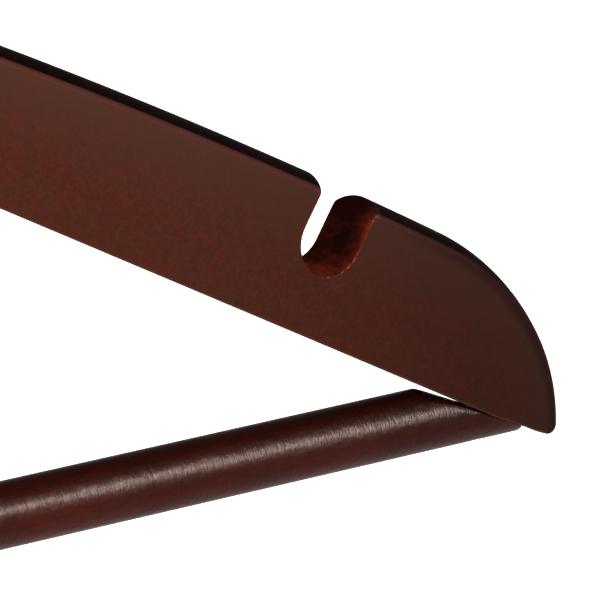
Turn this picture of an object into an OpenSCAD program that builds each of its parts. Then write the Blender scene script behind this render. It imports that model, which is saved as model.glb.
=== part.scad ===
// Wooden suit hanger with a trouser bar: two flat stained arms finger-jointed at the neck, a round
// bar screwed up under their outer ends, and a bent wire hook that swivels in the neck.
// X runs along the bar, -Y is the front face and Z is up.
// The origin is the point under the top of the hook that rests on the rail.

/* [Arms] */
// Width over the crests of both arm tips
overall_w = 445; // [420:1:480]
// Thickness of the arms, front to back
arm_t = 12.7; // [11.5:0.1:16]
// Slope of the arms' undersides, in degrees
arm_slope = 28.4; // [26:0.1:30]
// Height of an arm's face, square to its underside, where the shoulder starts
arm_h = 24.9; // [22:0.1:28]
// Degrees by which the top edge falls faster than the underside where the shoulder starts
arm_taper = 1.24; // [0.5:0.01:2]
// Height of the crown that rounds the top edge from face to face
crown_h = 2.5; // [1.5:0.1:3.5]
// Radius of the long, nearly straight top edge between neck and shoulder
back_r = 1570; // [1200:10:2400]
// Radius of the shoulder's curve
shoulder_r = 53; // [46:0.5:60]
// Degrees that the shoulder's curve turns through
shoulder_turn = 32.3; // [28:0.1:36]
// Radius of the curve that carries the shoulder down to the tip
tip_r = 36.3; // [30:0.1:42]
// Radius of the tip's lower corner
tip_corner_r = 1.5; // [1:0.1:3]
// Degrees by which the underside flattens near the tip
tip_ease = 3.6; // [2:0.1:6]
// Length of that flattened stretch, measured level from the face's tip
tip_ease_l = 13.7; // [10:0.1:14]

/* [Neck] */
// Width of the level top of the neck
neck_flat_w = 11; // [10.6:0.1:16]
// Radius of the neck's top corners
neck_corner_r = 5; // [3:0.1:7]
// Slope of the neck's sides at their steepest, in degrees
neck_side_slope = 78; // [70:1:84]
// Radius of the sweep from the neck into the arm
neck_sweep_r = 40; // [32:0.5:48]
// Radius of the arch under the neck
arch_r = 80; // [60:1:95]
// Length of the fingers that join the arms
finger_l = 12; // [9.6:0.1:16]
// Number of fingers in the joint, both arms together
finger_n = 5; // [3:1:7]

/* [Strap notches] */
// Width of a notch
notch_w = 13.5; // [10:0.1:15]
// Distance from the crest of the tip to the middle of the notch's round bottom, measured level
notch_inset = 54.5; // [50:0.5:70]
// Wood left under the notch, square to the underside
notch_floor = 11.1; // [9:0.1:13]
// Degrees that a notch's mouth leans outwards from square to the underside
notch_lean = 3.5; // [0:0.1:6]

/* [Trouser bar] */
// Distance from the crest of each arm's tip to where its underside meets the bar's axis
bar_inset = 17.2; // [16:0.1:18.5]
// Diameter of the bar
bar_d = 12; // [11:0.1:12.6]
// Length taken off the sharp lower end of each slanted cut
toe_flat = 4.2; // [3:0.1:5]

/* [Bar screws] */
// Distance from the bar's blunt lower end to a screw
screw_inset = 10; // [9:0.5:13]
// Length of a screw
screw_l = 25; // [20:1:27]
// Diameter over the thread
screw_d = 3; // [2.5:0.1:3.5]
// Diameter of the thread's core
screw_core_d = 2; // [1.6:0.1:2.4]
// Pitch of the thread
screw_pitch = 1.35; // [1:0.05:1.6]
// Length of the plain shank under the head
screw_shank_l = 8; // [5:0.5:10]
// Diameter of the countersunk head
screw_head_d = 6; // [5:0.1:6.4]
// Height of the head's rim
screw_rim_h = 0.3; // [0.2:0.05:0.5]
// Depth of the head below the lowest line of the bar
head_sink = 0.9; // [0.8:0.1:1.5]
// Width of the cross recess's slots
recess_w = 0.9; // [0.6:0.1:1.2]
// Length of the cross recess's slots
recess_l = 3.4; // [2.6:0.1:4]
// Depth of the cross recess
recess_h = 1.2; // [0.8:0.1:1.5]

/* [Hook] */
// Diameter of the hook's wire
wire_d = 4; // [3.4:0.1:4.2]
// Radius of the hook's round, on the wire's centre line
hook_r = 23.5; // [20:0.5:28]
// Radius of the small bend that leads into it, on the centre line
hook_throat_r = 9; // [7:0.5:12]
// Degrees that the wire runs on past the top of the round
hook_past_top = 105; // [90:1:115]
// Straight wire between the bead and the small bend
hook_rise = 21; // [14:0.5:28]
// Diameter of the bead swaged on the wire above the ferrule
bead_d = 6.6; // [5.6:0.1:7]
// Height of the bead
bead_h = 1.6; // [1.2:0.1:2.2]
// Length of the thread at the hook's lower end
thread_l = 8; // [7:0.5:10]
// Pitch of that thread
thread_pitch = 0.7; // [0.5:0.05:0.8]
// Depth of that thread
thread_h = 0.35; // [0.2:0.05:0.4]
// Thread that shows below the nut
thread_tail = 1.2; // [0.8:0.1:2]

/* [Hook fittings] */
// Diameter of the ferrule's flange
ferrule_d = 10; // [9:0.1:10.2]
// Thickness of the flange
flange_t = 1.2; // [0.8:0.1:1.6]
// Height of the ferrule's dome above the flange
dome_h = 1.5; // [1:0.1:2.2]
// Diameter of the ferrule's tube
tube_d = 6.4; // [5.8:0.1:7]
// Length of the tube below the flange
tube_l = 9; // [6:0.5:12]
// Depth of the ferrule's seat below the crest of the neck
seat_depth = 1.6; // [1.5:0.1:2]
// Diameter of the washer
washer_d = 9; // [8:0.1:9.2]
// Thickness of the washer
washer_t = 0.8; // [0.5:0.1:1.2]
// Hole in the washer
washer_bore_d = 4.6; // [4.5:0.1:5]
// Width of the nut across its flats
nut_af = 7; // [6.5:0.1:7.2]
// Thickness of the nut
nut_t = 3.2; // [2.6:0.1:3.6]
// Diameter of the recess for washer and nut
recess_d = 9.6; // [9.5:0.1:10.2]
// Depth of that recess above the top of the arch
nut_recess_h = 8; // [7.5:0.5:12]

/* [Fits] */
// Radial clearance of the wire in the ferrule
swivel_clear = 0.05; // [0.02:0.01:0.1]
// Radial clearance of the wire in the wood
shank_clear = 0.4; // [0.3:0.1:0.8]
// Play between the bead and the ferrule
end_play = 0.3; // [0.2:0.05:0.6]
// Radial clearance of pieces that are pressed or screwed in for good
seat_clear = 0.02; // [0.01:0.01:0.05]

/* [Hidden] */
$fn = 96;
edge_fn = 180; // facets of a full turn of a curved edge, in a drawing that has facets
back_fn = 3600; // the same for the long back edge, which is a small part of a turn
past = 1; // how far a cut runs past the face that it opens
lap = 0.3; // how far one stretch of an edge or a wire runs on inside the next one
hair = 0.05; // how far it lies under that one's surface there
side_step = 0.15; // how much narrower it is on each side before the faces are cut flat
tip_nest = 3; // nest number of the tip's curve, with three stretches before it
wood = [0.27, 0.13, 0.09];
bar_wood = [0.33, 0.16, 0.11];
chrome = [0.78, 0.79, 0.81];
zinc = [0.62, 0.62, 0.6];

// Outward normal, in the side view, of an edge that falls outwards at a degrees
function out(a) = [sin(a), cos(a)];

// The side view has its own zero height on the bar's axis.
// The undersides are two straight lines that would cross over the middle at ridge_z.
half_w = overall_w / 2;
ridge_z = (half_w - bar_inset) * tan(arm_slope);
face_tip_x = half_w - crown_h + tip_nest * hair;

// Top edge of the face, from the tip inwards: tip curve, shoulder, long back, neck sweep, corner
shoulder_a = arm_slope + arm_taper;
tip_a = shoulder_a + shoulder_turn;
tip_x = face_tip_x - tip_r;
shoulder_x = tip_x + (tip_r - shoulder_r) * sin(tip_a);
shoulder_z = (arm_h - shoulder_r * cos(arm_taper)) / cos(arm_slope) + ridge_z
             - shoulder_x * tan(arm_slope);
shoulder_c = [shoulder_x, shoulder_z];
tip_c = shoulder_c + (shoulder_r - tip_r) * out(tip_a);
back_c = shoulder_c + (shoulder_r - back_r) * out(shoulder_a);
sweep_x = neck_flat_w / 2 + (neck_sweep_r + neck_corner_r) * sin(neck_side_slope);
sweep_z = back_c[1] + sqrt(pow(back_r + neck_sweep_r, 2) - pow(sweep_x - back_c[0], 2));
sweep_c = [sweep_x, sweep_z];
back_a = atan2(sweep_c[0] - back_c[0], sweep_c[1] - back_c[1]);
corner_c = sweep_c - (neck_sweep_r + neck_corner_r) * out(neck_side_slope);
neck_top_z = corner_c[1] + neck_corner_r;

// Underside: the arch, the straight line, and the eased stretch that ends in the tip's corner
arch_z = ridge_z - arch_r / cos(arm_slope);
arch_top_z = arch_z + arch_r;
arch_end = [0, arch_z] + arch_r * out(arm_slope);
ease_x = face_tip_x - tip_ease_l;
ease = [ease_x, ridge_z - ease_x * tan(arm_slope)];
ease_a = arm_slope - tip_ease;
corner_line = ease + tip_corner_r * out(ease_a);
corner_away = tip_c - corner_line;
corner_dir = [cos(ease_a), -sin(ease_a)];
corner_mid = corner_away * corner_dir;
corner_off = corner_away * out(ease_a);
corner_run = corner_mid + sqrt(pow(tip_r - tip_corner_r, 2) - pow(corner_off, 2));
tip_corner_c = corner_line + corner_run * corner_dir;
tip_corner_a = atan2(tip_corner_c[0] - tip_c[0], tip_corner_c[1] - tip_c[1]);

// Radius of the crown across the thickness
crown_r = (pow(arm_t / 2, 2) + pow(crown_h, 2)) / (2 * crown_h);
crest_z = neck_top_z + crown_h;
finger_h = (crest_z - arch_top_z) / finger_n;

// Notch: the middle of its round bottom
notch_x = half_w - notch_inset;
notch_z = ridge_z - notch_x * tan(arm_slope) + (notch_floor + notch_w / 2) / cos(arm_slope);

// Bar: its ends are cut to lie flat against the eased stretch of the underside
bar_r = bar_d / 2;
cut_x = ease[0] + (ease[1] + bar_r) / tan(ease_a);
toe_x = cut_x - toe_flat;
heel_x = cut_x - bar_d / tan(ease_a);
screw_x = toe_x - screw_inset;
head_z = -bar_r + head_sink;

// Heights of the hook and its fittings, below the rail seat
hook_c_z = wire_d / 2 - hook_r;
bend_z = hook_c_z - sqrt(pow(hook_r, 2) + 2 * hook_r * hook_throat_r);
bend_a = acos(hook_throat_r / (hook_r + hook_throat_r));
bead_z = bend_z - hook_rise - bead_h;
seat_z = bead_z - end_play - dome_h - flange_t;
bar_z = seat_z + seat_depth - crest_z;
washer_z = bar_z + arch_top_z + nut_recess_h - washer_t;
nut_z = washer_z - nut_t;
wire_end_z = nut_z - thread_tail;

// Places a flat shape drawn in the side view, centred on the arms' thickness
module side_plate(t) {
    rotate([90, 0, 0]) linear_extrude(t, center = true) children();
}

// Section across the top edge, wider than the arm: the face's edge is at zero, the crown above it.
// Each stretch of edge has its own nest number, and lies just inside those of lower numbers.
module edge_section(depth, nest) {
    side = arm_t / 2 + past - nest * side_step;
    intersection() {
        translate([crown_h - nest * hair - crown_r, 0]) circle(crown_r);
        translate([crown_h - crown_r, -side]) square([crown_r + past, 2 * side]);
    }
    translate([-depth, -side]) square([depth + crown_h - crown_r + lap, 2 * side]);
}

// Stretch of crowned edge that bulges outwards, between two edge slopes.
// It starts a little early, inside the stretch before it.
module bulging_edge(centre, r, a_from, a_to, depth, nest, steps = edge_fn) {
    a_start = a_from - atan(lap / r);
    translate([centre[0], 0, centre[1]]) rotate([90, 0, 0]) rotate([0, 0, 90 - a_to])
        rotate_extrude(angle = a_to - a_start, $fn = steps) intersection() {
            translate([r, 0]) edge_section(depth, nest);
            translate([0, -arm_t]) square([r + arm_t, 2 * arm_t]);
        }
}

// Stretch of crowned edge that is swept inwards, between two edge slopes
module hollow_edge(centre, r, a_from, a_to, depth) {
    translate([centre[0], 0, centre[1]]) rotate([90, 0, 0]) rotate([0, 0, 270 - a_to])
        rotate_extrude(angle = a_to - a_from) translate([r, 0]) mirror([1, 0]) edge_section(depth, 0);
}

// Level stretch of crowned edge on top of the neck
module level_edge(x_from, x_to, z, depth) {
    translate([x_from, 0, z]) rotate([90, 0, 90]) linear_extrude(x_to - x_from)
        rotate(90) edge_section(depth, 0);
}

// Side view of what lies above the underside, from the ends of the fingers out to the tip
module above_underside() {
    far_x = half_w + past;
    high_z = crest_z + past;
    difference() {
        polygon([[-finger_l / 2, arch_end[1]], arch_end, ease,
                 [far_x, ease[1] - (far_x - ease[0]) * tan(ease_a)],
                 [far_x, high_z], [-finger_l / 2, high_z]]);
        translate([0, arch_z]) circle(arch_r, $fn = 360);
    }
}

// One arm with its crowned edge, still without notch, sockets and bores
module arm_blank() {
    neck_depth = crest_z - arch_top_z + finger_l; // reaches through the neck from any of its edges
    top_depth = neck_depth / 3; // reaches past the lower end of the neck's corner
    intersection() {
        union() {
            level_edge(-finger_l / 2 - past, corner_c[0], neck_top_z, top_depth);
            bulging_edge(corner_c, neck_corner_r, 0, neck_side_slope + atan(lap / neck_corner_r),
                         neck_corner_r, 1);
            hollow_edge(sweep_c, neck_sweep_r, back_a, neck_side_slope, neck_depth);
            bulging_edge(back_c, back_r, back_a, shoulder_a, arm_h + neck_depth, 1, back_fn);
            bulging_edge(shoulder_c, shoulder_r, shoulder_a, tip_a, shoulder_r, 2);
            bulging_edge(tip_c, tip_r, tip_a, tip_corner_a, tip_r, tip_nest);
            bulging_edge(tip_corner_c, tip_corner_r, tip_corner_a, 180 + ease_a, tip_corner_r,
                         tip_nest + 1);
            side_plate(arm_t + past) polygon([ease, tip_corner_c + lap * out(90),
                                              tip_corner_c - tip_corner_r * out(ease_a)]);
        }
        side_plate(arm_t) above_underside();
    }
}

// Round-bottomed notch for straps, cut in from the top edge
module notch_cut() {
    translate([notch_x, 0, notch_z]) rotate([0, arm_slope + notch_lean, 0]) {
        rotate([90, 0, 0]) cylinder(d = notch_w, h = 2 * arm_t, center = true);
        translate([-notch_w / 2, -arm_t, 0]) cube([notch_w, 2 * arm_t, arm_h]);
    }
}

// Sockets for the other arm's fingers, at every second level of the joint
module finger_sockets(first) {
    for (level = [first : 2 : finger_n - 1]) {
        below = level == 0 ? past : 0;
        above = level == finger_n - 1 ? past : 0;
        translate([-finger_l / 2 - past, -arm_t, arch_top_z + level * finger_h - below])
            cube([finger_l + past, 2 * arm_t, finger_h + below + above]);
    }
}

// Seat, bores and recess on the hook's axis, in heights of the side view
module hook_bores() {
    seat = seat_z - bar_z;
    translate([0, 0, seat]) cylinder(d = ferrule_d + 2 * seat_clear, h = seat_depth + past);
    translate([0, 0, seat - tube_l]) cylinder(d = tube_d + 2 * seat_clear, h = tube_l + past);
    translate([0, 0, arch_top_z]) cylinder(d = wire_d + 2 * shank_clear, h = seat - arch_top_z);
    translate([0, 0, arch_top_z - past]) cylinder(d = recess_d, h = nut_recess_h + past);
}

// Screw hole in an arm, in heights of the side view
module arm_screw_hole() {
    translate([screw_x, 0, head_z]) cylinder(d = screw_d + 2 * seat_clear, h = screw_l + seat_clear);
}

module shaped_arm(first_socket) {
    translate([0, 0, bar_z]) difference() {
        arm_blank();
        notch_cut();
        finger_sockets(first_socket);
        hook_bores();
        arm_screw_hole();
    }
}

module right_arm() {
    color(wood) shaped_arm(1);
}

module left_arm() {
    color(wood) mirror([1, 0, 0]) shaped_arm(0);
}

// Side view of the bar from end to end, with both slanted cuts and their blunt toes
module bar_outline() {
    end = [[toe_x, -bar_d], [toe_x, -bar_r + toe_flat * tan(ease_a)], [heel_x, bar_r],
           [heel_x - past, bar_r + past]];
    polygon(concat(end, [for (i = [len(end) - 1 : -1 : 0]) [-end[i][0], end[i][1]]]));
}

// Countersunk hole that lets a screw up through the bar
module bar_screw_hole() {
    translate([screw_x, 0, head_z]) {
        translate([0, 0, -bar_r]) cylinder(d = screw_head_d + 2 * seat_clear, h = bar_r + screw_rim_h);
        translate([0, 0, screw_rim_h]) cylinder(d1 = screw_head_d + 2 * seat_clear,
            d2 = screw_d + 2 * seat_clear, h = (screw_head_d - screw_d) / 2);
        cylinder(d = screw_d + 2 * seat_clear, h = bar_d);
    }
}

module trouser_bar() {
    color(bar_wood) translate([0, 0, bar_z]) difference() {
        intersection() {
            rotate([0, 90, 0]) cylinder(d = bar_d, h = 2 * toe_x, center = true);
            side_plate(2 * bar_d) bar_outline();
        }
        bar_screw_hole();
        mirror([1, 0, 0]) bar_screw_hole();
    }
}

// Half section of a thread drawn as rings: a core with ridges, up from zero
function ridges(core_r, crest_r, pitch, n) =
    [for (i = [0 : n - 1]) each [[core_r, i * pitch], [crest_r, (i + 0.5) * pitch]]];

// Countersunk wood screw, head down, its point up
module wood_screw() {
    cone_h = (screw_head_d - screw_d) / 2;
    turns = floor((screw_l - screw_shank_l - screw_d) / screw_pitch);
    thread_z = screw_l - screw_d - turns * screw_pitch;
    difference() {
        union() {
            cylinder(d = screw_head_d, h = screw_rim_h);
            translate([0, 0, screw_rim_h]) cylinder(d1 = screw_head_d, d2 = screw_d, h = cone_h);
            cylinder(d = screw_d, h = thread_z);
        }
        for (turn = [0, 90])
            rotate(turn) cube([recess_l, recess_w, 2 * recess_h], center = true);
    }
    translate([0, 0, thread_z]) rotate_extrude()
        polygon(concat([[0, 0]], ridges(screw_core_d / 2, screw_d / 2, screw_pitch, turns),
            [[screw_core_d / 2, turns * screw_pitch], [0, turns * screw_pitch + screw_d]]));
}

module right_bar_screw() {
    color(zinc) translate([screw_x, 0, bar_z + head_z]) wood_screw();
}

module left_bar_screw() {
    color(zinc) mirror([1, 0, 0]) translate([screw_x, 0, bar_z + head_z]) wood_screw();
}

// Bend of wire in the hook's plane: centre, radius, first angle, angle turned through, thickness
module wire_bend(x, z, r, from, turn, d) {
    translate([x, 0, z]) rotate([90, 0, 0]) rotate([0, 0, from])
        rotate_extrude(angle = turn) translate([r, 0]) circle(d = d);
}

module hook() {
    wire_r = wire_d / 2;
    inner_d = wire_d - 2 * hair;
    lap_a = atan(lap / hook_throat_r);
    core_r = wire_r - thread_h;
    turns = floor(thread_l / thread_pitch);
    thread_top = turns * thread_pitch;
    shank_z = wire_end_z + thread_top - thread_pitch / 8;
    color(chrome) {
        translate([0, 0, wire_end_z]) rotate_extrude()
            polygon(concat([[0, 0]], ridges(core_r, wire_r, thread_pitch, turns),
                [[core_r, thread_top], [core_r, thread_top + lap], [0, thread_top + lap]]));
        translate([0, 0, shank_z]) cylinder(d = wire_d, h = bend_z - shank_z);
        translate([0, 0, bead_z]) rotate_extrude() intersection() {
            translate([bead_d / 2 - bead_h / 2, bead_h / 2]) circle(d = bead_h);
            square([bead_d, bead_h]);
        }
        translate([0, 0, bead_z]) cylinder(d = bead_d - bead_h, h = bead_h);
        wire_bend(hook_throat_r, bend_z, hook_throat_r, 180 - bend_a - lap_a, bend_a + 2 * lap_a,
                  inner_d);
        wire_bend(0, hook_c_z, hook_r, -bend_a, 90 + hook_past_top + bend_a, wire_d);
        translate([-hook_r * sin(hook_past_top), 0, hook_c_z + hook_r * cos(hook_past_top)])
            sphere(d = inner_d);
    }
}

// Flanged tube pressed into the top of the neck, with a dome that meets the bead
module neck_ferrule() {
    bore_r = wire_d / 2 + swivel_clear;
    rim_r = ferrule_d / 2;
    dome_top_r = bead_d / 2;
    color(chrome) translate([0, 0, seat_z]) rotate_extrude() {
        translate([bore_r, -tube_l]) square([tube_d / 2 - bore_r, tube_l + flange_t]);
        translate([bore_r, 0]) square([rim_r - bore_r, flange_t]);
        polygon([[bore_r, flange_t], [rim_r, flange_t], [dome_top_r, flange_t + dome_h],
                 [bore_r, flange_t + dome_h]]);
    }
}

module hook_washer() {
    color(zinc) translate([0, 0, washer_z]) difference() {
        cylinder(d = washer_d, h = washer_t);
        translate([0, 0, -past]) cylinder(d = washer_bore_d, h = washer_t + 2 * past);
    }
}

// Hexagon nut with its corners turned off, locked on the hook's thread
module hook_nut() {
    corner_d = nut_af / cos(30);
    turned = (corner_d - nut_af) / 2;
    color(zinc) translate([0, 0, nut_z]) difference() {
        intersection() {
            cylinder(d = corner_d, h = nut_t, $fn = 6);
            union() {
                cylinder(d1 = nut_af, d2 = nut_af + 4 * turned, h = turned);
                translate([0, 0, turned]) cylinder(d = nut_af + 4 * turned, h = nut_t - 2 * turned);
                translate([0, 0, nut_t - turned])
                    cylinder(d1 = nut_af + 4 * turned, d2 = nut_af, h = turned);
            }
        }
        translate([0, 0, -past]) cylinder(d = wire_d + 2 * seat_clear, h = nut_t + 2 * past);
    }
}

right_arm();
left_arm();
trouser_bar();
right_bar_screw();
left_bar_screw();
hook();
neck_ferrule();
hook_washer();
hook_nut();
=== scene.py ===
"""A flat stained wooden suit hanger with a round trouser bar and a swivelling wire hook.

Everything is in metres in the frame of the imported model: X along the bar, -Y the front face, Z up,
with the origin under the top of the hook.
"""
import math

import bmesh
import bpy
import numpy as np
from mathutils import Matrix, Vector
from mathutils.geometry import delaunay_2d_cdt


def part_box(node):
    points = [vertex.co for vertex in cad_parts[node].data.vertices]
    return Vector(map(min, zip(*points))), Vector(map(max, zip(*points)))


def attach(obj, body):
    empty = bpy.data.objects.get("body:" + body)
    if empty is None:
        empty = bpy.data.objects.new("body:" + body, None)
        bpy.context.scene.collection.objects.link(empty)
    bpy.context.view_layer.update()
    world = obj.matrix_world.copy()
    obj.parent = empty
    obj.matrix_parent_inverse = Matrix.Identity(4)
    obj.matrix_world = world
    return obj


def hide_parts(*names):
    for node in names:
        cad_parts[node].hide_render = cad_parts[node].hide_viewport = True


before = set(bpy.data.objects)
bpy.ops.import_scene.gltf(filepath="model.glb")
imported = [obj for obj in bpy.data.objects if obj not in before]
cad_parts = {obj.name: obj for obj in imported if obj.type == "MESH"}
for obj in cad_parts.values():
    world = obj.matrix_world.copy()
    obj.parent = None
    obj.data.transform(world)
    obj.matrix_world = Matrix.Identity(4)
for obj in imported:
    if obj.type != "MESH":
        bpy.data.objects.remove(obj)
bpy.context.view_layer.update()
mm = 0.001


# The two arms
# Each arm is one flat piece of hardwood, cut to shape, with its top edge rounded from face to face.
# Its strap notch is cut through after that, the arms are finger-jointed and glued at the neck, and
# the whole is stained a dark reddish walnut under thin satin lacquer.

arm_t = 12.7 * mm
arm_slope = math.radians(28.4)
arm_taper = math.radians(1.24)
arm_h = 24.9 * mm
crown_h = 2.5 * mm
back_r = 1570 * mm
shoulder_r = 53 * mm
shoulder_turn = math.radians(32.3)
tip_r = 36.3 * mm
tip_corner_r = 1.5 * mm
tip_ease = math.radians(3.6)
tip_ease_l = 13.7 * mm
neck_half_w = 5.5 * mm
neck_corner_r = 5 * mm
neck_side_slope = math.radians(78)
neck_sweep_r = 40 * mm
arch_r = 80 * mm
finger_l = 12 * mm
finger_n = 5
notch_w = 13.5 * mm
notch_inset = 54.5 * mm
notch_floor = 11.1 * mm
notch_lean = math.radians(3.5)
bar_r = 6 * mm
bar_inset = 17.2 * mm

# How softly the edges are rounded over, and how round the corners of the notch's mouth are
edge_soft = 0.5 * mm
notch_soft = 0.2 * mm
notch_wear = 0.05 * mm
mouth_soft = 0.25 * mm
mouth_r = 0.7 * mm
glued_soft = 0.12 * mm

# The bores on the hook's axis: seat and tube hole of the ferrule, shank hole, recess of the nut
seat_depth, seat_hole_r = 1.6 * mm, 5.02 * mm
tube_l, tube_hole_r = 9 * mm, 3.22 * mm
shank_hole_r = 2.4 * mm
recess_h, recess_r = 8 * mm, 4.8 * mm

half_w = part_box("right_arm")[1].x
bar_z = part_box("trouser_bar")[0].z + bar_r


def out(a):
    """Outward normals, sine and cosine, of an edge that falls outwards at the angles a."""
    return np.stack([np.sin(a), np.cos(a)], axis=-1)


# Centres of the arcs in the side view, where heights count from the bar's axis
ridge_z = (half_w - bar_inset) * math.tan(arm_slope)
shoulder_a = arm_slope + arm_taper
tip_a = shoulder_a + shoulder_turn
face_tip_x = half_w - crown_h
shoulder_x = face_tip_x - tip_r + (tip_r - shoulder_r) * math.sin(tip_a)
shoulder_z = (arm_h - shoulder_r * math.cos(arm_taper)) / math.cos(arm_slope)
shoulder_c = np.array([shoulder_x, shoulder_z + ridge_z - shoulder_x * math.tan(arm_slope)])
tip_c = shoulder_c + (shoulder_r - tip_r) * out(tip_a)
back_c = shoulder_c + (shoulder_r - back_r) * out(shoulder_a)
sweep_x = neck_half_w + (neck_sweep_r + neck_corner_r) * math.sin(neck_side_slope)
sweep_rise = math.sqrt((back_r + neck_sweep_r) ** 2 - (sweep_x - back_c[0]) ** 2)
sweep_c = np.array([sweep_x, back_c[1] + sweep_rise])
back_a = math.atan2(*(sweep_c - back_c))
corner_c = sweep_c - (neck_sweep_r + neck_corner_r) * out(neck_side_slope)
neck_top_z = corner_c[1] + neck_corner_r
arch_c = np.array([0, ridge_z - arch_r / math.cos(arm_slope)])
ease_x = face_tip_x - tip_ease_l
ease = np.array([ease_x, ridge_z - ease_x * math.tan(arm_slope)])
ease_a = arm_slope - tip_ease
ease_dir = np.array([math.cos(ease_a), -math.sin(ease_a)])
corner_line = ease + tip_corner_r * out(ease_a)
corner_off = (tip_c - corner_line) @ out(ease_a)
corner_reach = math.sqrt((tip_r - tip_corner_r) ** 2 - corner_off ** 2)
corner_run = (tip_c - corner_line) @ ease_dir + corner_reach
tip_corner_c = corner_line + corner_run * ease_dir
tip_corner_a = math.atan2(*(tip_corner_c - tip_c))
finger_h = (neck_top_z + crown_h - arch_c[1] - arch_r) / finger_n


def arc(c, r, a0, a1, step):
    """Points c + r * out(a) of an arc from edge slope a0 to a1, and its outward normals out(a).

    A negative r is a hollow. A point stands at about every step along it.
    """
    a = np.linspace(a0, a1, max(2, int(abs(r * (a1 - a0)) / step) + 2))
    return c + r * out(a), out(a)


def crown(y):
    """Share of the crown's height at y across the thickness: an arc's, made fuller near its ends.

    The arc of a circle is blended with an ellipse, which stands upright at the faces.
    """
    fuller = 0.35
    r = (arm_t ** 2 / 4 + crown_h ** 2) / (2 * crown_h)
    round_share = (np.sqrt(r * r - y * y) - r + crown_h) / crown_h
    full_share = np.sqrt(np.clip(1 - (2 * y / arm_t) ** 2, 0, 1))
    return (1 - fuller) * round_share + fuller * full_share


# What a stretch of the outline is: stained edge, wall of the notch or glued finger
EDGE, NOTCH, GLUED = 0, 1, 2


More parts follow.
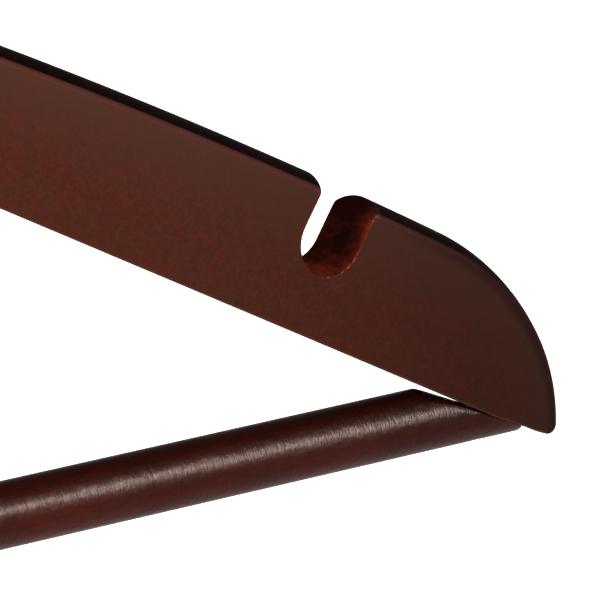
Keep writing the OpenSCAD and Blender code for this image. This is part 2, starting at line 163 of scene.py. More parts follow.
def arm_outline(top_finger):
    """The arm's edge in the side view, from the top of the neck round the tip and back.

    It is a chain of arcs and straight lines. Each row is: point, outward direction, direction in
    which the crown rises, crown height, softness of the edge, and EDGE, NOTCH or GLUED.
    """
    rows = []

    def add(points, outwards, rise=None, height=0.0, soft=edge_soft, kind=EDGE):
        """A row for each point; where no rise is given, the crown rises outwards."""
        points = np.atleast_2d(points)
        outwards = np.broadcast_to(outwards, points.shape)
        rise = outwards if rise is None else np.broadcast_to(rise, points.shape)
        tail = np.empty((len(points), 3))
        tail[:, 0], tail[:, 1], tail[:, 2] = height, soft, kind
        rows.append(np.hstack([points, outwards, rise, tail]))

    def mouth_corner(corner, n0, n1, crowned):
        """The notch's corner between edges with normals n0 and n1, rounded with an arc.

        The crown is cut through along the notch, so it rises that way, and by as much more as the
        notch is aslant to crowned, the normal of the crowned edge.
        """
        c = corner - mouth_r * (n0 + n1) / (1 + n0 @ n1)
        a0, a1 = math.atan2(*n0), math.atan2(*n1)
        a1 += 2 * math.pi * round((a0 - a1) / (2 * math.pi))
        points, normals = arc(c, mouth_r, a0, a1, step=mouth_r / 3)
        add(points, normals, way / (way @ crowned), crown_h, mouth_soft, NOTCH)

    up, level = np.array([0.0, 1.0]), np.array([1.0, 0.0])
    end_x = finger_l / 2

    # Top edge of the neck, from its finger
    first_a = math.asin((end_x - corner_c[0]) / neck_corner_r)
    if top_finger:
        x = np.linspace(-end_x, corner_c[0], 12)[:-1]
        add(np.stack([x, np.full_like(x, neck_top_z)], 1), up, height=crown_h)
        first_a = 0.0
    points, normals = arc(corner_c, neck_corner_r, first_a, neck_side_slope, step=0.5 * mm)
    add(points[:-1], normals[:-1], height=crown_h)
    points, normals = arc(sweep_c, -neck_sweep_r, neck_side_slope, back_a, step=1.2 * mm)
    add(points[:-1], normals[:-1], height=crown_h)

    # The centre of the notch's round bottom, its two directions, and where its walls meet the back
    lean = arm_slope + notch_lean
    way, side = out(lean), np.array([math.cos(lean), -math.sin(lean)])
    notch_c = np.array([half_w - notch_inset, 0.0])
    notch_c[1] = (ridge_z - notch_c[0] * math.tan(arm_slope)
                  + (notch_floor + notch_w / 2) / math.cos(arm_slope))
    mouth = []
    for wall in (-1, 1):
        foot = notch_c + wall * side * notch_w / 2 - back_c
        run = -foot @ way + math.sqrt((foot @ way) ** 2 - foot @ foot + back_r ** 2)
        mouth.append(back_c + foot + run * way)
    mouth_a = [math.atan2(*(m - back_c)) for m in mouth]

    # Long back, with the notch in it; back and walls stop short of the mouth's rounded corners
    back_short, wall_short = 1.3 * mm, 1.1 * mm
    sawn = dict(soft=notch_soft, kind=NOTCH)
    stop = back_short / back_r
    points, normals = arc(back_c, back_r, back_a, mouth_a[0] - stop, step=1.5 * mm)
    add(points, normals, height=crown_h)
    mouth_corner(mouth[0], out(mouth_a[0]), side, crowned=out(mouth_a[0]))
    edge = notch_c - side * notch_w / 2
    s = np.linspace((mouth[0] - edge) @ way - wall_short, 0.0, 16)[:, None]
    add(edge + s * way, side, **sawn)
    a = np.linspace(0, math.pi, 34)[1:-1, None]
    spoke = -np.cos(a) * side - np.sin(a) * way
    add(notch_c + spoke * notch_w / 2, -spoke, **sawn)
    edge = notch_c + side * notch_w / 2
    s = np.linspace(0.0, (mouth[1] - edge) @ way - wall_short, 16)[:, None]
    add(edge + s * way, -side, **sawn)
    mouth_corner(mouth[1], -side, out(mouth_a[1]), crowned=out(mouth_a[1]))
    points, normals = arc(back_c, back_r, mouth_a[1] + stop, shoulder_a, step=1.5 * mm)
    add(points[:-1], normals[:-1], height=crown_h)

    # Shoulder, tip and its lower corner, round which the crown runs out
    points, normals = arc(shoulder_c, shoulder_r, shoulder_a, tip_a, step=0.8 * mm)
    add(points[:-1], normals[:-1], height=crown_h)
    points, normals = arc(tip_c, tip_r, tip_a, tip_corner_a, step=0.6 * mm)
    add(points[:-1], normals[:-1], height=crown_h)
    points, normals = arc(tip_corner_c, tip_corner_r, tip_corner_a, math.pi + ease_a,
                          step=0.25 * mm)
    fade = np.clip(np.cos(np.linspace(0, math.pi / 2, len(points))), 0, 1) ** 1.5
    add(points, normals, height=crown_h * fade)

    # Underside back to the neck: the eased stretch, the straight one and the arch
    run = np.linspace(0, 1, 9)[1:-1, None]
    add(points[-1] + run * (ease - points[-1]), -out(ease_a))
    arch_end = arch_c + arch_r * out(arm_slope)
    run = np.linspace(0, 1, 90)[:-1, None]
    add(ease + run * (arch_end - ease), -out(arm_slope))
    last_x = -end_x if top_finger else end_x
    points, normals = arc(arch_c, arch_r, arm_slope, math.asin(last_x / arch_r), step=1.5 * mm)
    add(points, -normals)

    # Fingers, from the arch up, as square steps
    glued = dict(soft=glued_soft, kind=GLUED)
    x = last_x
    for k in range(1, finger_n):
        z = arch_c[1] + arch_r + k * finger_h
        turn = 1 if x < 0 else -1
        add([[x, z]], turn * up - level, **glued)
        add([[-x, z]], turn * up - level, **glued)
        x = -x
    return np.vstack(rows)


# Points from a flat face to the crown, over the soft corner between them
soft_n = 6


def rim_points(rows, wear_start):
    """The outline carried across the thickness, as a grid of outline points by steps across.

    From the front face a line turns over the soft corner, which is a part of a parabola, follows
    the crown and comes down to the back face in the same way. The notch's soft corners are
    unevenly worn, by sine waves that follow the outline.
    """
    p, outwards, rise, height = rows[:, 0:2], rows[:, 2:4], rows[:, 4:6], rows[:, 6:7]
    k = np.arange(len(rows))[:, None]
    wear = np.sin(k * 1.1) * np.sin(k * 0.73 + wear_start) + 0.6 * np.sin(k * 1.9 + 1)
    soft = rows[:, 7:8] + (rows[:, 8:9] == NOTCH) * notch_wear * wear
    face_margin = 0.1 * mm

    t = np.linspace(0, 1, soft_n)
    y1 = -arm_t / 2 + soft
    soft_in = -soft * (1 - t) ** 2
    soft_up = height * crown(y1) * t ** 2
    soft_y = -arm_t / 2 + soft * t ** 2
    s = np.linspace(-1, 1, 23)[1:-1]
    mid_y = -y1 * np.sin(s * math.pi / 2)
    mid_up = height * crown(mid_y)
    face_in = -soft - face_margin
    flat = np.zeros_like(face_in)
    into = np.hstack([face_in, soft_in, 0 * mid_y, soft_in[:, ::-1], face_in])
    lift = np.hstack([flat, soft_up, mid_up, soft_up[:, ::-1], flat])
    y = np.hstack([flat - arm_t / 2, soft_y, mid_y, -soft_y[:, ::-1], flat + arm_t / 2])
    xz = p[:, None] + outwards[:, None] * into[..., None] + rise[:, None] * lift[..., None]
    return np.stack([xz[..., 0], y, xz[..., 1]], -1)


def grid_faces(rows, columns, open_rows=0, open_columns=0):
    """Four-sided faces over a grid of points, whose rows and columns close into rings unless open.

    Point (i, j) is number i * columns + j, and a face joins (i, j), (i + 1, j), (i + 1, j + 1)
    and (i, j + 1).
    """
    i, j = np.meshgrid(np.arange(rows - open_rows), np.arange(columns - open_columns),
                       indexing="ij")
    this, after = i * columns, (i + 1) % rows * columns
    j2 = (j + 1) % columns
    return np.stack([this + j, after + j, after + j2, this + j2], -1).reshape(-1, 4)


def face_fill(loop):
    """A loose grid of points inside a closed loop, and the triangles that fill the loop with them.

    A point is inside where a level line from it crosses the loop an odd number of times, and it
    is kept if it is clear of the loop. The triangles are Delaunay's, found in millimetres.
    """
    spacing_x, spacing_z, clearance = 2 * mm, 1.5 * mm, 0.5 * mm
    gx, gz = np.meshgrid(np.arange(loop[:, 0].min(), loop[:, 0].max(), spacing_x),
                         np.arange(loop[:, 1].min(), loop[:, 1].max(), spacing_z))
    grid = np.stack([gx.ravel(), gz.ravel()], -1)
    end = np.roll(loop, -1, 0)
    step = end - loop
    crosses = (loop[:, 1] > grid[:, None, 1]) != (end[:, 1] > grid[:, None, 1])
    rise = np.where(step[:, 1] == 0, 1, step[:, 1])
    at = loop[:, 0] + (grid[:, 1:2] - loop[:, 1]) * step[:, 0] / rise
    inside = (crosses & (grid[:, 0:1] < at)).sum(1) % 2 == 1
    share = np.clip(((grid[:, None] - loop) * step).sum(-1) / (step * step).sum(-1), 0, 1)
    nearest = loop + share[..., None] * step
    clear = np.min(np.linalg.norm(grid[:, None] - nearest, axis=-1), axis=1) > clearance
    grid = grid[inside & clear]

    points = np.vstack([loop, grid]) * 1000
    ring = [(q, (q + 1) % len(loop)) for q in range(len(loop))]
    _, _, triangles, origins, _, _ = delaunay_2d_cdt([tuple(q) for q in points], ring, [], 1, 1e-6)
    if not all(origins):
        raise ValueError("the arm's outline crosses itself")
    return grid, np.array([o[0] for o in origins])[np.array(triangles)]


def arm_mesh(name, side):
    """One arm as a closed surface: its rim and two flat faces, with the values its finish goes by.

    side is 1 for the right arm and -1 for the left, which mirrors it but for the fingers.
    """
    rows = arm_outline(top_finger=side > 0)
    p, height, kind = rows[:, 0:2], rows[:, 6], rows[:, 8]
    rim = rim_points(rows, wear_start=side)
    n, m = rim.shape[:2]
    grid, tris = face_fill(rim[:, 0][:, [0, 2]])
    rim_n, grid_n = n * m, len(grid)
    front = np.where(tris < n, tris * m, rim_n + tris - n)
    back = np.where(tris < n, tris * m + m - 1, rim_n + grid_n + tris - n)
    front_points = np.stack([grid[:, 0], np.full(grid_n, -arm_t / 2), grid[:, 1]], -1)
    verts = np.vstack([rim.reshape(-1, 3), front_points, front_points * [1, -1, 1]])

    # Distance below the top edge, found in parts to spare memory
    top = p[height > 0.9 * crown_h]
    below = np.concatenate([np.min(np.linalg.norm(part[:, None] - top, axis=-1), axis=1)
                            for part in np.array_split(verts[:, [0, 2]], 20)])

    # Place along and across the grain, which starts at another place in each arm
    grain_start = 0.5 if side > 0 else 2.0
    along = verts[:, 0] * math.cos(arm_slope) - verts[:, 2] * math.sin(arm_slope)
    across = verts[:, 0] * math.sin(arm_slope) + verts[:, 2] * math.cos(arm_slope)
    grain = np.stack([along + grain_start, verts[:, 1], across], -1)

    # The soft corner, strongest in its middle, to be told apart by what it is the edge of
    turn = np.zeros((n, m))
    turn[:, 1:1 + soft_n] = np.sin(np.linspace(0, 1, soft_n) * math.pi) ** 2
    turn[:, m - 1 - soft_n:m - 1] = turn[:, 1:1 + soft_n]

    # How far down the notch, from 0 at its mouth to 1 in the middle of its round bottom
    notch = p[kind == NOTCH]
    sunk_reach = 16 * mm
    off = np.clip(np.linalg.norm(p - notch[len(notch) // 2], axis=1) / sunk_reach, 0, 1)

    def spread(values, on_faces=0.0):
        """One value for each point: the rim's as given, and one for all points of the faces."""
        on_rim = np.broadcast_to(values, (n, m)).ravel()
        return np.concatenate([on_rim, np.full(2 * grid_n, on_faces)])

    edge = kind == EDGE
    attributes = {
        "below_top": below,
        "top_turn": spread(turn * ((height > 0) & edge)[:, None]),
        "notch_turn": spread(turn * (kind == NOTCH)[:, None]),
        "low_turn": spread(turn * ((height == 0) & edge)[:, None]),
        "glue_turn": spread(turn * (kind == GLUED)[:, None]),
        "depth": spread(np.abs(rim[..., 1]) / (arm_t / 2), 1.0),
        "sunk": spread(1 - off[:, None]),
        "crowned": spread(height[:, None] / crown_h),
    }

    verts = verts * [side, 1, 1] + [0, 0, bar_z]
    rim_faces = grid_faces(n, m, open_columns=1).tolist()
    mesh = bpy.data.meshes.new(name)
    mesh.from_pydata(verts.tolist(), [], rim_faces + front.tolist() + back[:, ::-1].tolist())
    for label, values in attributes.items():
        layer = mesh.attributes.new(label, "FLOAT", "POINT")
        layer.data.foreach_set("value", values.astype(np.float32))
    layer = mesh.attributes.new("grain", "FLOAT_VECTOR", "POINT")
    layer.data.foreach_set("vector", grain.astype(np.float32).ravel())

    # Finish of each face, in the order of wood_materials: 0 flat face, 1 top edge, 2 notch wall
    least_crown = 0.02 * mm
    j = np.arange(m - 1)
    crowned = ((height > least_crown) & edge)[:, None] & (j >= soft_n) & (j < m - 1 - soft_n)
    cut = ((kind == NOTCH) & (np.roll(kind, -1) == NOTCH))[:, None]
    cut = cut & (j >= soft_n - 1) & (j < m - soft_n)
    slots = np.zeros(len(mesh.polygons), np.int32)
    slots[:len(rim_faces)][crowned.ravel()] = 1
    slots[:len(rim_faces)][cut.ravel()] = 2
    mesh.polygons.foreach_set("material_index", slots)
    return mesh


def outward(mesh):
    """Merges the points that meet at a pole, and turns the faces outwards.

    The volume inside, the sum of a . (b x c) over the triangles, has to be positive.
    """
    merged = bmesh.new()
    merged.from_mesh(mesh)
    bmesh.ops.remove_doubles(merged, verts=merged.verts, dist=1e-7)
    merged.to_mesh(mesh)
    merged.free()
    mesh.calc_loop_triangles()
    co = np.empty(len(mesh.vertices) * 3)
    mesh.vertices.foreach_get("co", co)
    tri = np.empty(len(mesh.loop_triangles) * 3, np.int32)
    mesh.loop_triangles.foreach_get("vertices", tri)
    a, b, c = np.moveaxis(co.reshape(-1, 3)[tri.reshape(-1, 3)], 1, 0)
    if np.einsum("ij,ij->", a, np.cross(b, c)) < 0:
        mesh.flip_normals()
    return mesh


def smooth(mesh, angle):
    """Shades a mesh smooth, but keeps edges that turn by more than angle, in degrees."""
    mesh.polygons.foreach_set("use_smooth", np.ones(len(mesh.polygons), bool))
    mesh.set_sharp_from_angle(angle=math.radians(angle))
    mesh.update()
    return mesh


def piece(name, mesh, body, node, materials):
    """Puts a mesh in the scene in place of its CAD node, riding on that node's body."""
    obj = bpy.data.objects.new(name, mesh)
    bpy.context.scene.collection.objects.link(obj)
    for m in materials:
        mesh.materials.append(m)
    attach(obj, body)
    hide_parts(node)


def turned_grid(profile, steps):
    """Points r * cos(a), r * sin(a), z of a profile of rows r, z turned about Z, a row per step."""
    a = np.linspace(0, 2 * math.pi, steps, endpoint=False)
    r, z = profile[:, 0], profile[:, 1]
    z = np.broadcast_to(z, (steps, len(z)))
    return np.stack([np.outer(np.cos(a), r), np.outer(np.sin(a), r), z], -1)


def turned(profile, steps, name):
    """A closed surface turned about Z from a profile that goes from axis to axis, or is closed."""
    mesh = bpy.data.meshes.new(name)
    mesh.from_pydata(turned_grid(profile, steps).reshape(-1, 3).tolist(), [],
                     grid_faces(steps, len(profile)).tolist())
    return outward(mesh)


def hook_bores(name):
    """What is drilled on the hook's axis: ferrule seat, tube hole, shank hole and nut recess.

    It is turned from a stepped profile that goes past the wood at both ends.
    """
    arch_top = arch_c[1] + arch_r
    seat = neck_top_z + crown_h - seat_depth
    low, high = arch_top - 4 * mm, seat + 6 * mm
    recess_top, tube_end = arch_top + recess_h, seat - tube_l
    profile = [(0, low), (recess_r, low), (recess_r, recess_top), (shank_hole_r, recess_top),
               (shank_hole_r, tube_end), (tube_hole_r, tube_end), (tube_hole_r, seat),
               (seat_hole_r, seat), (seat_hole_r, high), (0, high)]
    return turned(np.array(profile) + [0, bar_z], 64, name)


def drilled(mesh, *bores):
    """The mesh with its bores, each a closed mesh, cut out of it."""
    blank, *cutters = [bpy.data.objects.new(m.name, m) for m in (mesh, *bores)]
    for obj in (blank, *cutters):
        bpy.context.scene.collection.objects.link(obj)
    for cutter in cutters:
        cut = blank.modifiers.new(cutter.name, "BOOLEAN")
        cut.operation, cut.solver, cut.object = "DIFFERENCE", "EXACT", cutter
    bpy.context.view_layer.update()
    evaluated = blank.evaluated_get(bpy.context.evaluated_depsgraph_get())
    result = bpy.data.meshes.new_from_object(evaluated)
    result.name = mesh.name
    for obj in (blank, *cutters):
        bpy.data.objects.remove(obj)
    return result


class Nodes:
    """Short way to write a material's nodes and links."""

    def __init__(self, name, **shader):
        """A new material; shader gives values for its own sockets, with _ for a space."""
        self.material = bpy.data.materials.new(name)
        self.material.use_nodes = True
        self.tree = self.material.node_tree
        self.shader = self.tree.nodes["Principled BSDF"]
        for socket, value in shader.items():
            self.shader.inputs[socket.replace("_", " ")].default_value = value

    def add(self, kind, inputs=(), **settings):
        """A node of this kind, with its settings, and its inputs set or linked."""
        node = self.tree.nodes.new("ShaderNode" + kind)
        for key, value in settings.items():
            setattr(node, key, value)
        for socket, value in dict(inputs).items():
            self.put(node.inputs[socket], value)
        return node

    def put(self, socket, value):
        """Links another socket to this one, or sets its value."""
        if isinstance(value, bpy.types.NodeSocket):
            self.tree.links.new(value, socket)
        else:
            socket.default_value = value

    def attribute(self, name, output="Fac"):
        """A value that the mesh carries for each point."""
        return self.add("Attribute", attribute_name=name).outputs[output]

    def stretched(self, vector, scale):
        """The vector with its X, Y and Z each multiplied by scale's."""
        return self.add("Mapping", {"Vector": vector, "Scale": scale}).outputs[0]

    def noise(self, vector, scale, detail=3.0, rough=0.5):
        """Noise from 0 to 1, with scale as the number of its features in a metre of the vector."""
        return self.add("TexNoise", {"Vector": vector, "Scale": scale, "Detail": detail,
                                     "Roughness": rough}).outputs[0]

    def ramp(self, fac, *stops):
        """Colour that runs from stop to stop, each a place from 0 to 1 and a colour."""
        node = self.add("ValToRGB", {"Fac": fac})
        bar = node.color_ramp.elements
        while len(bar) < len(stops):
            bar.new(0.5)
        for element, (at, colour) in zip(bar, stops):
            element.position = at
            element.color = (*colour, 1)
        return node.outputs[0]

    def grey(self, fac, *stops):
        """Value that runs from stop to stop, each a place from 0 to 1 and a value."""
        return self.ramp(fac, *[(at, (v, v, v)) for at, v in stops])

    def mix(self, fac, a, b, blend="MIX"):
        """Colour a, with the share fac of b blended over it."""
        node = self.add("Mix", data_type="RGBA", blend_type=blend)
        fac_input, a_input, b_input, colour_output = 0, 6, 7, 2
        for index, value in ((fac_input, fac), (a_input, a), (b_input, b)):
            self.put(node.inputs[index], (*value, 1) if isinstance(value, tuple) else value)
        return node.outputs[colour_output]

    def math(self, operation, a, b=0.0):
        """The operation on a and b, each a number or a socket."""
        node = self.add("Math", operation=operation)
        self.put(node.inputs[0], a)
        self.put(node.inputs[1], b)
        return node.outputs[0]

    def times(self, a, b):
        """The product of a and b."""
        return self.math("MULTIPLY", a, b)

    def bump(self, height, strength, distance):
        """The surface's direction, bent as if height from 0 to 1 rose over distance."""
        return self.add("Bump", {"Height": height, "Strength": strength,
                                 "Distance": distance}).outputs[0]

    def finish(self, colour, rough, normal):
        """The material, with these three linked to its shader."""
        for socket, value in (("Base Color", colour), ("Roughness", rough), ("Normal", normal)):
            self.put(self.shader.inputs[socket], value)
        return self.material


def srgb(r, g, b):
    """A colour given by its sRGB values from 0 to 255, as the linear values that a shader takes.

    The standard's curve is a short straight line near black and a power of 2.4 above it.
    """
    c = np.array([r, g, b]) / 255
    return tuple(np.where(c <= 0.04045, c / 12.92, ((c + 0.055) / 1.055) ** 2.4).tolist())


def towards_tip(n, *stops):
    """Value over the distance from the middle of the hanger, with stops in metres.

    It is for painted shade where the light falls off towards the ends, and for marks that fade
    there.
    The ramp's 0 to 1 is spread over 0.25 m.
    """
    per_metre = 4.0
    where = n.add("SeparateXYZ", {"Vector": n.add("TexCoord").outputs["Object"]}).outputs[0]
    distance = n.times(n.math("ABSOLUTE", where), per_metre)
    return n.grey(distance, *[(x * per_metre, v) for x, v in stops])


def stained_face():
    """Flat faces: reddish walnut stain that took unevenly, in clouds and fine red mottling."""
    n = Nodes("stained_face", Specular_IOR_Level=0.035)
    grain = n.attribute("grain", "Vector")

    # The stain: wide clouds, mottling of a few millimetres, and fine fibres
    clouds = n.noise(n.stretched(grain, (28, 40, 48)), 1.0, 4, 0.6)
    colour = n.ramp(clouds, (0.32, srgb(75, 38, 26)), (0.5, srgb(77, 36, 23)),
                    (0.68, srgb(80, 34, 21)))
    mottle = n.noise(n.stretched(grain, (480, 900, 700)), 1.0, 3, 0.6)
    colour = n.mix(n.grey(mottle, (0.52, 0.0), (0.75, 0.75)), colour, srgb(88, 31, 21))
    colour = n.mix(n.grey(mottle, (0.3, 0.6), (0.5, 0.0)), colour, srgb(62, 36, 24))
    fine = n.grey(n.noise(grain, 1500, 2, 0.6), (0.3, 0.82), (0.7, 1.15))
    colour = n.mix(1.0, colour, fine, "MULTIPLY")

    # Painted sheen: paler and greyer under the top edge, where the ramp's 1 is 20 mm down. Darker
    # towards the tip: painted shade where the light falls off, and a dark band along the top edge
    # near the tip
    painted_sheen_under_top = n.grey(n.times(n.attribute("below_top"), 50.0), (0.0, 1.0), (0.13, 0.75),
                       (0.5, 0.25), (0.8, 0.0))
    # painted sheen: a greyer colour over the face under the top edge, the light off its rolled edge
    colour = n.mix(n.times(painted_sheen_under_top, 0.8), colour, srgb(80, 50, 39))
    # painted shade: the face darkens towards the tip, where the light falls off
    painted_tip_shade = towards_tip(n, (0.10, 1.0), (0.138, 0.93), (0.162, 0.83), (0.187, 0.65), (0.22, 0.44))
    colour = n.mix(1.0, colour, painted_tip_shade, "MULTIPLY")
    rim = n.grey(n.times(n.attribute("below_top"), 100.0), (0.0, 1.0), (0.1, 0.7), (0.22, 0.0))
    colour = n.mix(n.times(rim, towards_tip(n, (0.18, 0.0), (0.2, 0.85))), colour,
                   srgb(34, 12, 12))
    specks = n.noise(grain, 2600, 1, 0.4)
    colour = n.mix(n.grey(specks, (0.76, 0.0), (0.80, 0.5)), colour, srgb(30, 12, 8))

    # The soft corners: worn red below the crown, dark along the glue, and a painted pale reflection
    # of the floor along the underside
    rubbed = n.grey(n.noise(grain, 260, 3), (0.3, 0.35), (0.6, 1.0))
    rubbed = n.times(rubbed, towards_tip(n, (0.165, 1.0), (0.2, 0.15)))
    top_line = n.math("POWER", n.attribute("top_turn"), 3.0)
    colour = n.mix(n.times(top_line, rubbed), colour, srgb(112, 20, 5))
    colour = n.mix(n.attribute("glue_turn"), colour, srgb(38, 15, 9))
    # painted reflection: pinkish grey on the lower soft edges, as if lit from the floor below
    colour = n.mix(n.times(n.attribute("low_turn"), 0.5), colour, srgb(92, 52, 48))

    # The notch's edge: rubbed red, and chipped to the bare wood at its mouth and bottom
    chips = n.grey(n.noise(n.stretched(grain, (1100, 500, 1100)), 1.0, 3, 0.6), (0.54, 0.0),
                   (0.62, 1.0))
    colour = n.mix(n.times(n.attribute("notch_turn"), 0.7), colour, srgb(104, 40, 22))
    chipped = n.grey(n.attribute("sunk"), (0.02, 0.9), (0.12, 0.15), (0.5, 0.45), (0.85, 0.9))
    colour = n.mix(n.times(n.times(n.attribute("notch_turn"), chipped), chips), colour,
                   srgb(176, 146, 122))
    rough = n.grey(clouds, (0.3, 0.42), (0.7, 0.52))
    return n.finish(colour, rough, n.bump(mottle, strength=0.5, distance=0.00004))


def shaded_top_stain():
    """The rounded top edge: the faces' stain, painted almost to black as shade where little light
    falls.
    """
    n = Nodes("shaded_top_stain", Specular_IOR_Level=0.015)
    grain = n.attribute("grain", "Vector")
    clouds = n.noise(n.stretched(grain, (60, 400, 400)), 1.0, 3, 0.6)
    # painted shade: a far darker copy of the faces' stain on the top edge
    colour = n.ramp(clouds, (0.3, srgb(31, 7, 7)), (0.7, srgb(41, 10, 9)))
    # less painted shade where the crown runs out into the face at the tip's corner
    run_out = n.grey(n.attribute("crowned"), (0.0, 1.0), (0.8, 0.0))
    colour = n.mix(run_out, colour, srgb(52, 24, 16))
    rough = n.grey(clouds, (0.3, 0.5), (0.7, 0.6))
    return n.finish(colour, rough, n.bump(clouds, strength=0.4, distance=0.00005))


def notch_wall():
    """The notch's sawn wall: open fibres red with stain, with painted light and shade over them.

    Its shade is the larger of two rises of painted light, to the edges (more to the front one) and
    to the bottom, which leaves painted shade in the middle, with the torn fibres and patches added
    to it.
    """
    n = Nodes("notch_wall", Specular_IOR_Level=0.03)
    grain = n.attribute("grain", "Vector")
    torn = n.noise(n.stretched(grain, (650, 300, 650)), 1.0, 4, 0.7)
    patches = n.noise(grain, 150, 2, 0.5)
    # painted light: brighter towards both faces, more the front one, with painted shade at mid-depth
    edge = n.math("POWER", n.attribute("depth"), 2.0)
    # painted light: brighter towards the notch's bottom, which lies in shadow
    bottom = n.grey(n.attribute("sunk"), (0.35, 0.0), (0.85, 0.72))
    front = n.math("LESS_THAN", n.add("SeparateXYZ", {"Vector": grain}).outputs[1], 0.0)
    edge = n.times(edge, n.math("ADD", 0.3, n.times(front, 0.32)))
    shade = n.math("MAXIMUM", edge, bottom)
    for unevenness, amount in ((torn, 0.8), (patches, 0.7)):
        shade = n.math("ADD", shade, n.times(n.math("SUBTRACT", unevenness, 0.5), amount))
    # the ramp runs from painted shade, dark red, to painted light, bright orange
    colour = n.ramp(shade, (0.05, srgb(28, 6, 4)), (0.4, srgb(72, 20, 10)),
                    (0.7, srgb(136, 44, 20)), (1.0, srgb(180, 70, 34)))
    rough = n.grey(torn, (0.3, 0.75), (0.7, 0.95))
    return n.finish(colour, rough, n.bump(torn, strength=1.0, distance=0.00025))


wood_materials = [stained_face(), shaded_top_stain(), notch_wall()]
for side, node in ((1, "right_arm"), (-1, "left_arm")):
    blank = outward(arm_mesh(node + "_wood", side))
    for m in wood_materials:
        blank.materials.append(m)
    wood = drilled(blank, hook_bores("hook_bores"))
    piece(node + "_wood", smooth(wood, 35), "hanger", node, [])


# The trouser bar
# A beech dowel, sawn off aslant so that its ends lie flat against the eased ends of the arms'
# undersides. It is stained redder than the arms, under a thicker lacquer.

toe_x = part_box("trouser_bar")[1].x
toe_round = 0.9 * mm
end_ring = 0.3 * mm
head_hole_r, screw_hole_r = 3.02 * mm, 1.52 * mm
cone_low, cone_high = 0.3 * mm, 1.8 * mm


def bar_end(z):
    """How far the bar reaches from the middle at height z: the slanted cut, or the blunt toe.

    The cut lies along the eased end of the arm's underside, so it bears at the toe and stands off
    at the heel. Where the two meet, a parabola takes off the corner.
    """
    cut = ease[0] - (z - ease[1]) / math.tan(ease_a)
    near = np.clip(1 - np.abs(cut - toe_x) / toe_round, 0, 1)
    return np.minimum(cut, toe_x) - near ** 2 * toe_round / 4


def bar_mesh(name):
    """The bar as rings along X, each point as far out as its height allows, and two cut ends.

    The ends are rings that shrink to a point, at the shares given of the bar's radius.
    """
    a = np.linspace(0, 2 * math.pi, 96, endpoint=False)
    y, z = bar_r * np.cos(a), bar_r * np.sin(a)
    reach = np.stack([-bar_end(z) + end_ring, bar_end(z) - end_ring])
    s = np.linspace(0, 1, 160)[:, None]
    x = reach[:1] * (1 - s) + reach[1:] * s
    side = np.stack([x, np.broadcast_to(y, x.shape), np.broadcast_to(z, x.shape)], -1)
    share = np.array([0.985, 0.955, 0.85, 0.65, 0.4, 0.15, 0.0])[:, None]
    eased = np.array([0.09, 0, 0, 0, 0, 0, 0])[:, None] * mm
    cap = np.stack([bar_end(share * z) - eased, share * y, share * z], -1)
    grid = np.concatenate([cap[::-1] * [-1, 1, 1], side, cap]) + [0, 0, bar_z]
    rows, around = grid.shape[:2]
    mesh = bpy.data.meshes.new(name)
    mesh.from_pydata(grid.reshape(-1, 3).tolist(), [],
                     grid_faces(rows, around, open_rows=1).tolist())
    sawn = np.zeros((rows, around), np.float32)
    sawn[:len(cap)] = sawn[-len(cap):] = 1
    mesh.attributes.new("sawn", "FLOAT", "POINT").data.foreach_set("value", sawn.ravel())
    return outward(mesh)


def screw_bore(name, x, head_z):
    """Hole up through the bar for a screw: wide for the sunk head, countersunk, then narrow.

    It is turned from a stepped profile that goes past the bar at both ends.
    """
    low, high = head_z - 6 * mm, head_z + 12 * mm
    profile = [(0, low), (head_hole_r, low), (head_hole_r, head_z + cone_low),
               (screw_hole_r, head_z + cone_high), (screw_hole_r, high), (0, high)]
    mesh = turned(np.array(profile), 48, name)
    mesh.transform(Matrix.Translation((x, 0, 0)))
    return mesh


def lacquered_dowel():
    """Stained beech under lacquer that has drawn into fine wrinkles round the dowel."""
    n = Nodes("lacquered_dowel", Specular_IOR_Level=0.09)
    where = n.add("TexCoord").outputs["Object"]
    clouds = n.noise(n.stretched(where, (45, 260, 260)), 1.0, 4, 0.6)
    colour = n.ramp(clouds, (0.3, srgb(56, 17, 7)), (0.5, srgb(66, 19, 8)),
                    (0.72, srgb(76, 21, 9)))
    fibres = n.noise(n.stretched(where, (330, 1500, 1500)), 1.0, 3, 0.6)
    colour = n.mix(n.grey(fibres, (0.45, 0.0), (0.7, 0.8)), colour, srgb(48, 12, 7))
    # painted shade: the bar darkens towards its ends, where the light falls off
    painted_tip_shade = towards_tip(n, (0.10, 1.0), (0.154, 0.87), (0.189, 0.72), (0.215, 0.6))
    colour = n.mix(1.0, colour, painted_tip_shade, "MULTIPLY")
    colour = n.mix(n.attribute("sawn"), colour, srgb(22, 6, 4))
    wrinkles = n.noise(n.stretched(where, (2300, 600, 600)), 1.0, 2, 0.5)
    swells = n.noise(n.stretched(where, (160, 300, 300)), 1.0, 2, 0.5)
    height = n.math("ADD", wrinkles, n.times(swells, 1.5))
    rough = n.grey(wrinkles, (0.3, 0.33), (0.7, 0.40))
    return n.finish(colour, rough, n.bump(height, strength=1.0, distance=0.00011))


screw_low, screw_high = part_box("right_bar_screw")
screw_x = (screw_low.x + screw_high.x) / 2
right_bore = screw_bore("right_screw_hole", screw_x, screw_low.z)
left_bore = screw_bore("left_screw_hole", -screw_x, screw_low.z)
dowel = smooth(drilled(bar_mesh("trouser_bar_dowel"), right_bore, left_bore), 40)
piece("trouser_bar_dowel", dowel, "hanger", "trouser_bar", [lacquered_dowel()])


# The screws, washer and nut
# Zinc-plated steel: a countersunk screw up through each end of the bar, and a washer and nut in
# the recess under the neck that keep the hook in.

